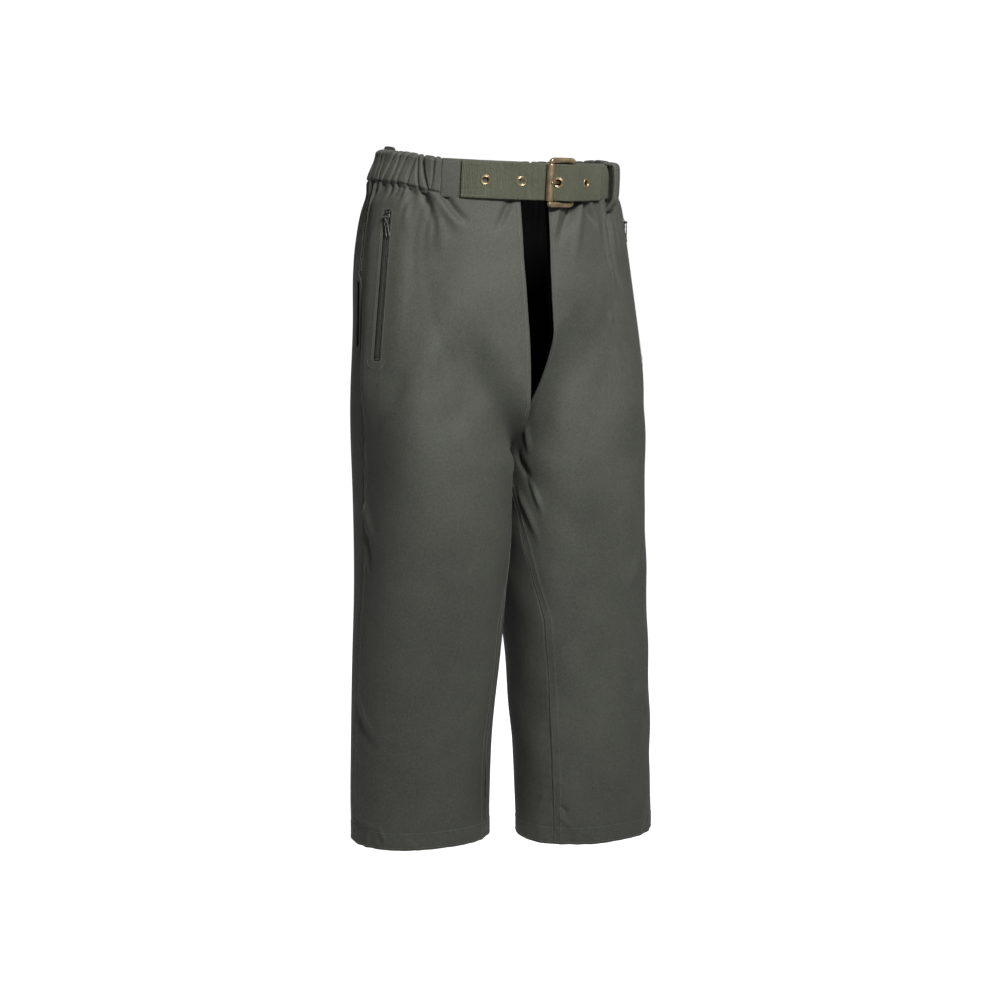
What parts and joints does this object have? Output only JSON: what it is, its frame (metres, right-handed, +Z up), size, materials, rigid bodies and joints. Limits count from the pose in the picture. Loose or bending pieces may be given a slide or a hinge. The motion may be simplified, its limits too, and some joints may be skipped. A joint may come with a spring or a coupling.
{
  "type": "chainsaw chaps",
  "caption": "Belted over-trouser leg chaps with two full leg tubes, an elastic-backed waistband, a roller buckle, zip pockets and hand slits.",
  "frame": {"origin": "centre of the waistband, halfway up its height", "axes": "+X to the wearer's left, -Y the way the wearer faces, +Z up"},
  "size_m": [0.3499, 0.2314, 0.7982],
  "materials": {
    "outer_fabric": "tightly woven coated polyester, matt with a soft sheen",
    "lining": "black knitted lining",
    "pad_fill": "loose layered protective fibre",
    "webbing": "ribbed polyester webbing",
    "elastic": "ribbed elastic",
    "black_tape": "narrow black tape",
    "brass": "antique brass, worn bright on its edges",
    "zip_metal": "gunmetal zip hardware with bright edges",
    "zip_tape": "dark woven zip tape",
    "zip_coil": "nylon coil"
  },
  "bodies": {
    "garment": {"front_panel_right": "outer_fabric", "front_panel_left": "outer_fabric", "back_panel_right": "outer_fabric", "back_panel_left": "outer_fabric", "protective_pad_right": "pad_fill", "protective_pad_left": "pad_fill", "front_lining_right": "lining", "front_lining_left": "lining", "back_lining_right": "lining", "back_lining_left": "lining", "opening_facing_right": "outer_fabric", "opening_facing_left": "outer_fabric", "seat_facing_right": "outer_fabric", "seat_facing_left": "outer_fabric", "hem_facing_right": "outer_fabric", "hem_facing_left": "outer_fabric", "pocket_bag_right": "lining", "pocket_bag_left": "lining", "zip_tapes_right": "zip_tape", "zip_tapes_left": "zip_tape", "zip_coils_right": "zip_coil", "zip_coils_left": "zip_coil", "zip_stops_right": "zip_metal", "zip_stops_left": "zip_metal", "slit_welt_right": "outer_fabric", "slit_welt_left": "outer_fabric", "waistband_front_right": "outer_fabric", "waistband_front_left": "outer_fabric", "elastic_casing": "outer_fabric", "elastic_band": "elastic", "belt_webbing": "webbing", "belt_eyelets": "brass", "eyelet_washers": "brass", "buckle_strap": "webbing", "buckle_frame": "brass", "belt_loop": "outer_fabric", "hanger_loop": "black_tape"},
    "zip_slider_right": {"zip_slider_right": "zip_metal"},
    "zip_pull_right": {"zip_pull_right": "zip_metal"},
    "zip_slider_left": {"zip_slider_left": "zip_metal"},
    "zip_pull_left": {"zip_pull_left": "zip_metal"},
    "buckle_roller": {"buckle_roller": "brass"},
    "buckle_prong": {"buckle_prong": "brass"}
  },
  "joints": [
    {"name": "zip_slide_right", "type": "slide", "parent": "garment", "child": "zip_slider_right", "axis": [-0.117, -0.0754, -0.9903], "range_m": [0, 0.146]},
    {"name": "zip_pull_swing_right", "type": "hinge", "parent": "zip_slider_right", "child": "zip_pull_right", "pos_m": [-0.1493, -0.03537, -0.05077], "axis": [-0.5417, 0.8406, 0], "range_deg": [0, 150]},
    {"name": "zip_slide_left", "type": "slide", "parent": "garment", "child": "zip_slider_left", "axis": [0.117, -0.0754, -0.9903], "range_m": [0, 0.146]},
    {"name": "zip_pull_swing_left", "type": "hinge", "parent": "zip_slider_left", "child": "zip_pull_left", "pos_m": [0.1493, -0.03537, -0.05077], "axis": [-0.5417, -0.8406, 0], "range_deg": [0, 150]},
    {"name": "roller_spin", "type": "hinge", "parent": "garment", "child": "buckle_roller", "pos_m": [0.01543, -0.10745, -0.01319], "axis": [0, -0.1219, 0.9925], "continuous": true},
    {"name": "prong_lift", "type": "hinge", "parent": "garment", "child": "buckle_prong", "pos_m": [0.04665, -0.09997, -0.01227], "axis": [0, -0.1219, 0.9925], "range_deg": [0, 4]}
  ]
}
